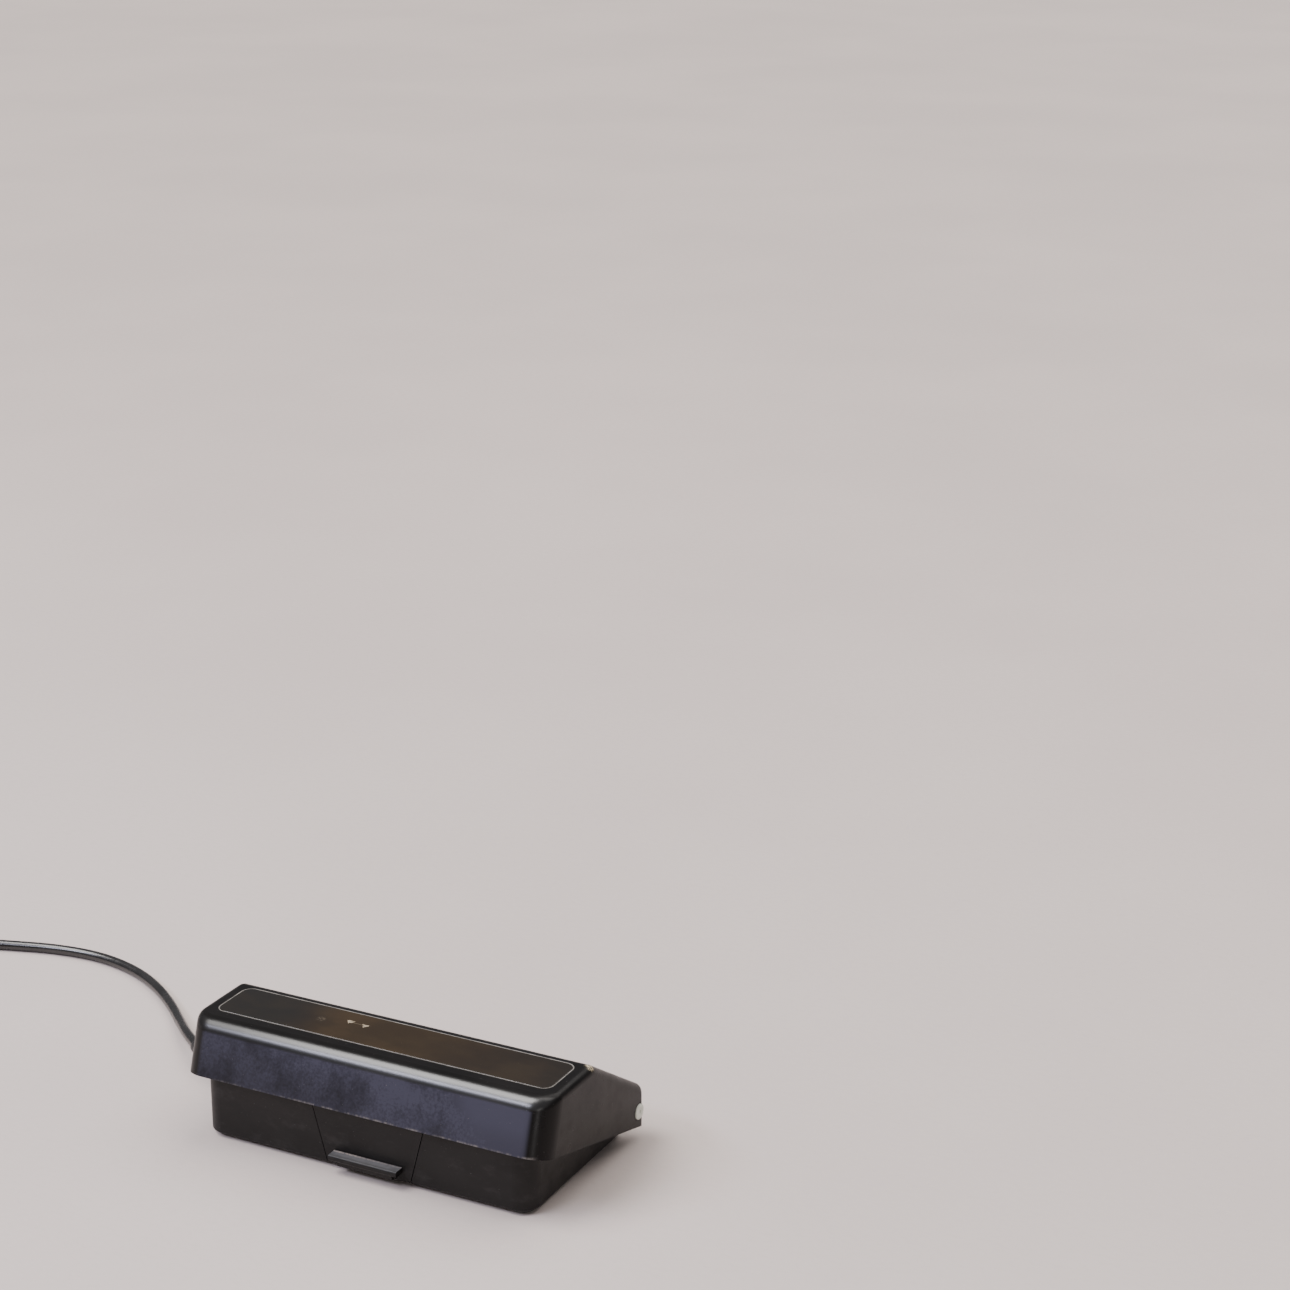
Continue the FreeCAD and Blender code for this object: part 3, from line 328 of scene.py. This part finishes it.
looks = {
    "cover": cover_material(),
    "plate": plate_material(),
    "base": base_material("base_satin"),
    "flap": base_material("flap_satin", pale_tab=True),
    "cord": cord_material(),
    "sleeve": moulded("sleeve_pvc", (0.0085, 0.0082, 0.0084), (0.0165, 0.0155, 0.0155), (0.4, 0.52), 200.0),
    "rubber": moulded("foot_rubber", (0.045, 0.044, 0.043), (0.085, 0.082, 0.078), (0.6, 0.8), 180.0),
    "pin": moulded("pin_nylon", (0.60, 0.63, 0.55), (0.78, 0.80, 0.71), (0.35, 0.5), 400.0),
    "steel": brushed("zinc_steel", (0.42, 0.42, 0.41), (0.62, 0.62, 0.60), (0.28, 0.42)),
    "spring": brushed("spring_wire", (0.24, 0.24, 0.25), (0.45, 0.45, 0.46), (0.25, 0.38), (1, 1, 1)),
    "brass": brushed("aged_brass", (0.48, 0.32, 0.12), (0.72, 0.54, 0.25), (0.25, 0.42)),
    "can": brushed("capacitor_can", (0.55, 0.55, 0.56), (0.75, 0.75, 0.75), (0.3, 0.42), (1, 0.06, 1)),
    "blank_plate": brushed("blank_plate", (0.50, 0.50, 0.49), (0.68, 0.68, 0.66), (0.32, 0.46)),
    "phenolic": moulded("brown_phenolic", (0.050, 0.021, 0.010), (0.105, 0.045, 0.020), (0.3, 0.45), 90.0),
    "ceramic": moulded("steatite", (0.56, 0.52, 0.45), (0.74, 0.70, 0.62), (0.55, 0.75), 130.0, bump=0.3),
    "carbon": moulded("pressed_carbon", (0.012, 0.012, 0.013), (0.045, 0.045, 0.047), (0.4, 0.6), 700.0),
    "nylon": moulded("natural_nylon", (0.55, 0.51, 0.43), (0.70, 0.67, 0.58), (0.35, 0.5), 110.0),
    "lead": moulded("brown_lead", (0.16, 0.055, 0.022), (0.26, 0.095, 0.040), (0.3, 0.42), 200.0),
    "felt": woven_material("grey_felt", (0.13, 0.12, 0.11), (0.30, 0.29, 0.27), 0.0006),
    "strap": woven_material("strap_weave", (0.010, 0.010, 0.011), (0.050, 0.050, 0.052), 0.0011),
    "groove": moulded("groove_painted_highlight", (0.09, 0.083, 0.075), (0.27, 0.25, 0.225), (0.5, 0.7), 160.0),
}

node_looks = {
    "treadle_cover": "cover", "top_plate": "plate", "bail_pads": "felt", "cover_catch": "steel",
    "catch_screws": "steel", "return_bail": "steel", "adjusting_screw": "steel", "lock_nut": "steel",
    "plunger": "nylon", "latch_flap": "flap", "base_shell": "base", "rubber_feet": "rubber",
    "rating_plate": "blank_plate", "hinge_pins": "pin", "latch_pins": "steel", "latch_springs": "spring",
    "return_springs": "spring", "controller_housing": "phenolic", "controller_lid": "phenolic",
    "lid_screws": "steel", "housing_screws": "steel", "rheostat_block": "ceramic", "carbon_discs": "carbon",
    "contact_buttons": "brass", "contact_strips": "brass", "plunger_spring": "spring",
    "suppressor_capacitor": "can", "terminal_block": "phenolic", "terminal_screws": "brass",
    "strain_relief": "sleeve", "cord_clamp": "nylon", "clamp_screw": "steel", "supply_leads": "lead",
    "cord_run": "cord", "cord_coil": "cord", "cord_tail": "cord", "coil_tie": "strap",
    "machine_connector": "sleeve", "connector_sockets": "brass",
}


def paint(piece, look):
    piece.data.materials.clear()
    piece.data.materials.append(looks[look])


for node_name, look in node_looks.items():
    paint(nodes[node_name], look)


# ---- cord ---------------------------------------------------------------------------------
MM = 0.001
CORD_D = 4.5
RUN = [
    (-63.5, 1.0, 7.5), (-70.0, 1.0, 7.5), (-97.0, 1.0, 7.5), (-126.0, 22.5, 5.6), (-141.0, 37.0, 3.0),
    (-154.5, 49.5, 2.25), (-171.0, 61.8, 2.25), (-190.0, 71.3, 2.25), (-212.0, 76.2, 2.25),
    (-235.0, 74.2, 2.25), (-257.0, 67.5, 2.25), (-279.0, 59.5, 2.5),
]
TAIL = [(-310.6, 3.5, 6.5), (-307.5, -7.0, 5.4), (-306.0, -17.5, 4.6), (-306.0, -27.0, 4.6)]
COIL_X, COIL_Y = -284.5, 24.0
OUTER_TURN = 31.7            # radius of the outermost turn's middle
LOW_LAYER = 2.3
TURN_POINTS = 16
ARRIVAL = 100.0              # degrees round the coil where the cord joins it
LEAVING = 200.0 + 7 * 360.0


def ease(value):
    value = min(max(value, 0.0), 1.0)
    return value * value * (3 - 2 * value)


def coil_point(angle):
    """Two layers of four turns: inwards on the floor, up a layer, and outwards on top."""
    travelled = (angle - ARRIVAL) / 360.0
    turn = min(int(travelled), 7)
    share = travelled - turn
    inward = turn if turn <= 3 else 7 - turn
    if turn < 3:
        inward += ease((share - 0.86) / 0.14)
    elif turn > 3:
        inward -= ease((share - 0.58) / 0.14)
    height = LOW_LAYER
    if turn == 3:
        height += CORD_D * ease((share - 0.72) / 0.14)
    elif turn > 3:
        height += CORD_D
    pull_in = 0.25 * math.cos(2 * math.pi / TURN_POINTS) + 0.75
    radius = (OUTER_TURN - inward * CORD_D) / pull_in
    angle = math.radians(angle)
    return (COIL_X + radius * math.cos(angle), COIL_Y + radius * math.sin(angle), height)


steps = round((LEAVING - ARRIVAL) / 360.0 * TURN_POINTS)
turns = [coil_point(ARRIVAL + (LEAVING - ARRIVAL) * k / steps) for k in range(steps + 1)]
cord_points = RUN + turns + TAIL

cord_curve = bpy.data.curves.new("cord", "CURVE")
cord_curve.dimensions = "3D"
spline = cord_curve.splines.new("NURBS")
spline.points.add(len(cord_points) - 1)
for control, point in zip(spline.points, cord_points):
    control.co = (*(c * MM for c in point), 1.0)
spline.order_u = 3
spline.use_endpoint_u = True
cord_curve.resolution_u = 10
cord = bpy.data.objects.new("cord", cord_curve)
bpy.context.collection.objects.link(cord)
centreline = bpy.data.meshes.new_from_object(cord)
centre_points = [vertex.co.copy() for vertex in centreline.vertices]
cord_curve.bevel_depth = CORD_D / 2 * MM
cord_curve.bevel_resolution = 6
cord_curve.use_fill_caps = True
paint(cord, "cord")
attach(cord, "root")
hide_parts("cord_run", "cord_coil", "cord_tail")


def mesh_piece(name, make, look, body, smooth_angle=35.0):
    """New mesh object from a bmesh function, painted and riding on a body."""
    data = bpy.data.meshes.new(name)
    shape = bmesh.new()
    make(shape)
    bmesh.ops.recalc_face_normals(shape, faces=shape.faces)
    shape.to_mesh(data)
    shape.free()
    for face in data.polygons:
        face.use_smooth = True
    data.set_sharp_from_angle(angle=math.radians(smooth_angle))
    piece = bpy.data.objects.new(name, data)
    bpy.context.collection.objects.link(piece)
    paint(piece, look)
    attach(piece, body)
    return piece


def skin(shape, rings, closed=False, capped=True):
    """Join rings of points into a skin."""
    made = [[shape.verts.new(point) for point in ring] for ring in rings]
    count = len(made[0])
    pairs = list(zip(made, made[1:]))
    if closed:
        pairs.append((made[-1], made[0]))
    for first, second in pairs:
        for k in range(count):
            n = (k + 1) % count
            shape.faces.new((first[k], first[n], second[n], second[k]))
    if capped and not closed:
        shape.faces.new(made[0][::-1])
        shape.faces.new(made[-1])


# ---- strain relief that follows the cord --------------------------------------------------
RELIEF_FROM = -76.6 * MM     # outer face of the flange
RELIEF_LENGTH = 41.5 * MM
RELIEF_RIBS = 8
FLANGE = 1.6 * MM


def make_relief(shape):
    """Tapered ribbed sleeve with a flange on each side of the wall."""
    start = next(k for k, point in enumerate(centre_points) if point.x < RELIEF_FROM)
    before, after = centre_points[start - 1], centre_points[start]
    path = [before.lerp(after, (RELIEF_FROM - before.x) / (after.x - before.x))]
    for point in centre_points[start:]:
        path.append(point)
        if (point - path[0]).length > RELIEF_LENGTH:
            break
    lengths = [0.0]
    for before, after in zip(path, path[1:]):
        lengths.append(lengths[-1] + (after - before).length)
    total = lengths[-1]

    def at(distance):
        for k in range(1, len(path)):
            if distance <= lengths[k] or k == len(path) - 1:
                share = (distance - lengths[k - 1]) / (lengths[k] - lengths[k - 1])
                return path[k - 1].lerp(path[k], share), (path[k] - path[k - 1]).normalized()

    inside = RELIEF_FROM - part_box("strain_relief")[1].x
    profile = [(inside, 2.3), (inside, 3.9), (inside + 1.5 * MM, 3.9), (inside + 1.5 * MM, 2.98),
               (-FLANGE, 2.98), (-FLANGE, 4.2), (0.0, 4.2), (0.25 * MM, 4.0), (0.5 * MM, 3.45)]
    rib_from, rib_to = 4.5 * MM, total - 9.0 * MM
    pitch = (rib_to - rib_from) / RELIEF_RIBS
    for k in range(RELIEF_RIBS):
        groove = rib_from + k * pitch
        taper = 3.4 - 0.45 * groove / total
        profile += [(groove, taper), (groove + 0.15 * MM, taper - 0.1), (groove + 0.35 * MM, 2.65),
                    (groove + 1.25 * MM, 2.65), (groove + 1.45 * MM, taper - 0.12),
                    (groove + 1.6 * MM, taper - 0.02)]
    profile += [(total - 1.2 * MM, 2.95), (total - 0.4 * MM, 2.85), (total, 2.55), (total, 2.28)]
    rings = []
    for distance, radius in profile:
        centre, heading = at(max(distance, 0.0))
        if distance < 0:
            centre = centre + heading * distance
        side = heading.cross(Vector((0, 0, 1))).normalized()
        up = side.cross(heading)
        rings.append([centre + (side * math.cos(a) + up * math.sin(a)) * radius * MM
                      for a in (2 * math.pi * k / 40 for k in range(40))])
    skin(shape, rings)


relief = mesh_piece("strain_relief_sleeve", make_relief, "sleeve", "root")
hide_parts("strain_relief")


# ---- strap round the coil -----------------------------------------------------------------
TIE_ANGLE = 190.0
TIE_WIDTH = 6.0


def make_tie(shape):
    """Strap round the bundle of turns, with its end laid back over itself."""
    inner_r, outer_r = OUTER_TURN - 3 * CORD_D - 2.4, OUTER_TURN + 2.4
    low, high = 0.55, LOW_LAYER + 1.5 * CORD_D + 0.35
    corner = 1.9
    centres = [(outer_r - corner, low + corner, -90), (outer_r - corner, high - corner, 0),
               (inner_r + corner, high - corner, 90), (inner_r + corner, low + corner, 180)]
    turn = Matrix.Rotation(math.radians(TIE_ANGLE), 4, "Z")
    rings = []
    for r, z, start in centres:
        for k in range(7):
            angle = math.radians(start + 15 * k)
            out = Vector((math.cos(angle), 0, math.sin(angle)))
            middle = Vector((r, 0, z)) + out * corner
            ring = []
            for width, depth in ((-1, 0), (-0.96, 0.5), (0.96, 0.5), (1, 0), (0.96, -0.5), (-0.96, -0.5)):
                point = middle + out * depth * 0.5 + Vector((0, width * TIE_WIDTH / 2, 0))
                ring.append(turn @ (point * MM) + Vector((COIL_X, COIL_Y, 0)) * MM)
            rings.append(ring)
    skin(shape, rings, closed=True)


tie = mesh_piece("coil_strap", make_tie, "strap", "root")
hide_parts("coil_tie")


# ---- springs that close up as the treadle goes down ---------------------------------------
SPRING_STEPS = 24            # rings in one turn
CLOSED_TURNS = 0.9           # at each end


def coil_spring(x, y, low, high, mean_radius, wire_radius, turns):
    """Function that makes a compression spring with closed ends."""
    open_turns = turns - 2 * CLOSED_TURNS

    def make(shape):
        rise = high - low - 2 * wire_radius
        closed = 1.8 * wire_radius
        rings = []
        for k in range(round(turns * SPRING_STEPS) + 1):
            turn = k / SPRING_STEPS
            middle = min(max(turn - CLOSED_TURNS, 0.0), open_turns) / open_turns
            height = low + wire_radius + middle * (rise - 2 * CLOSED_TURNS * closed)
            height += closed * (min(turn, CLOSED_TURNS) + max(turn - turns + CLOSED_TURNS, 0.0))
            angle = 2 * math.pi * turn
            out = Vector((math.cos(angle), math.sin(angle), 0.0))
            centre = Vector((x, y, height)) + out * mean_radius
            rings.append([centre + (out * math.cos(a) + Vector((0, 0, 1)) * math.sin(a)) * wire_radius
                          for a in (2 * math.pi * n / 10 for n in range(10))])
        skin(shape, rings)
    return make


spring_low, spring_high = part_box("return_springs")
for side in (-1, 1):
    spring = mesh_piece("return_spring_" + ("left" if side < 0 else "right"),
                        coil_spring(side * 50.0 * MM, 24.6 * MM, spring_low.z, spring_high.z, 4.2 * MM,
                                    0.45 * MM, 6), "spring", "root")
    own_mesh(spring)
    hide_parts("return_springs")

spring_low, spring_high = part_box("plunger_spring")
spring = mesh_piece("plunger_coil_spring",
                    coil_spring(-35.0 * MM, 10.0 * MM, spring_low.z, spring_high.z, 4.9 * MM, 0.4 * MM, 3.5),
                    "spring", "root")
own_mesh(spring)
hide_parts("plunger_spring")


# ---- grip ribs on the connector -----------------------------------------------------------
GRIP_RIBS = 5
GRIP_FROM, GRIP_PITCH = 12.0, 3.0
connector_low, connector_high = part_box("machine_connector")


def make_grips(shape):
    """Rounded ribs on each side of the connector."""
    for side in (-1, 1):
        face = connector_low.x if side < 0 else connector_high.x
        for k in range(GRIP_RIBS):
            y = connector_low.y + (GRIP_FROM + GRIP_PITCH * k) * MM
            rings = []
            for z, size in ((2.4, 0.1), (2.9, 0.8), (3.5, 1.0), (9.5, 1.0), (10.1, 0.8), (10.6, 0.1)):
                rings.append([Vector((face + side * (0.45 * math.sin(a) * size - 0.05) * MM,
                                      y + 0.75 * math.cos(a) * size * MM, z * MM))
                              for a in (math.pi * n / 8 for n in range(9))])
            skin(shape, rings)


mesh_piece("connector_grip_ribs", make_grips, "sleeve", "root")


# ---- pale line in the groove round the top plate: a painted highlight along the groove ----
def rounded_outline(x0, x1, y0, y1, radius, z, count=10):
    points = []
    for cx, cy, start in ((x1 - radius, y1 - radius, 0), (x0 + radius, y1 - radius, 90),
                          (x0 + radius, y0 + radius, 180), (x1 - radius, y0 + radius, 270)):
        for k in range(count + 1):
            angle = math.radians(start + 90 * k / count)
            points.append(Vector((cx + radius * math.cos(angle), cy + radius * math.sin(angle), z)))
    return points


PLATE_CORNER = 4.0
plate_low, plate_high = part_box("top_plate")


def make_groove_highlight_line(shape):
    """Thin pale ring lying in the groove, a painted highlight along its edge."""
    rings = []
    for outwards, drop in ((0.02, 0.32), (0.04, 0.12), (0.3, 0.07), (0.56, 0.12), (0.58, 0.32)):
        grow = outwards * MM
        rings.append(rounded_outline(plate_low.x - grow, plate_high.x + grow, plate_low.y - grow,
                                     plate_high.y + grow, PLATE_CORNER * MM + grow,
                                     plate_high.z - drop * MM))
    skin(shape, rings, closed=True)


mesh_piece("groove_highlight_line", make_groove_highlight_line, "groove", "cover")


# ---- floor, light and camera --------------------------------------------------------------
def floor_material():
    g = Graph("pale_floor")
    slow = g.noise(3.0, 4.0)
    fine = g.noise(420.0, 4.0, (0.5, 1, 1), shift=3.0)
    colour = g.mix(g.ramp(slow, 0.3, 0.7), (0.61, 0.530, 0.500), (0.65, 0.566, 0.532))
    colour = g.mix(g.ramp(fine, 0.45, 0.8, 0.0, 0.2), colour, (0.55, 0.475, 0.445))
    g.bump(fine, 0.05, 0.0003)
    return g.finish(colour, g.ramp(fine, 0.3, 0.7, 0.55, 0.7), specular=0.3)


FLOOR_HALF = 6.0
floor_data = bpy.data.meshes.new("floor")
floor_shape = bmesh.new()
bmesh.ops.create_grid(floor_shape, x_segments=8, y_segments=8, size=FLOOR_HALF)
floor_shape.to_mesh(floor_data)
floor_shape.free()
floor = bpy.data.objects.new("floor", floor_data)
bpy.context.collection.objects.link(floor)
floor_data.materials.append(floor_material())

world = bpy.data.worlds.new("studio")
bpy.context.scene.world = world
world.use_nodes = True
background = world.node_tree.nodes["Background"]
background.inputs["Color"].default_value = (0.96, 0.95, 0.97, 1.0)
background.inputs["Strength"].default_value = 0.27


def aim(holder, place, target):
    holder.location = place
    holder.rotation_euler = (Vector(target) - Vector(place)).to_track_quat("-Z", "Y").to_euler()
    bpy.context.collection.objects.link(holder)


def sun_light(name, towards, strength, spread, colour):
    lamp = bpy.data.lights.new(name, "SUN")
    lamp.energy = strength
    lamp.angle = math.radians(spread)
    lamp.color = colour
    aim(bpy.data.objects.new(name, lamp), towards, (0, 0, 0))


def area_light(name, place, target, size, energy, colour):
    lamp = bpy.data.lights.new(name, "AREA")
    lamp.shape = "RECTANGLE"
    lamp.size, lamp.size_y = size
    lamp.energy = energy
    lamp.color = colour
    aim(bpy.data.objects.new(name, lamp), place, target)


sun_light("overhead", (-0.42, -0.20, 0.88), 2.8, 32.0, (1.0, 0.975, 0.96))
sun_light("behind", (0.18, 0.46, 0.87), 2.1, 56.0, (1.0, 0.955, 0.92))
area_light("front_left", (-0.95, -1.22, 1.35), (0, 0, 0.03), (1.1, 0.3), 25.0, (0.82, 0.83, 1.0))
area_light("front_right", (0.95, -1.5, 0.3), (0.06, -0.03, 0.025), (0.3, 0.6), 3.0, (1.0, 0.97, 0.95))

camera_data = bpy.data.cameras.new("camera")
camera_data.sensor_width = 36.0
camera_data.lens = 80.93
camera_data.clip_start = 0.01
camera = bpy.data.objects.new("camera", camera_data)
camera.location = (0.5584, -0.8826, 0.5575)
camera.rotation_euler = (math.radians(71.401), 0.0, math.radians(27.217))
bpy.context.collection.objects.link(camera)
bpy.context.scene.camera = camera
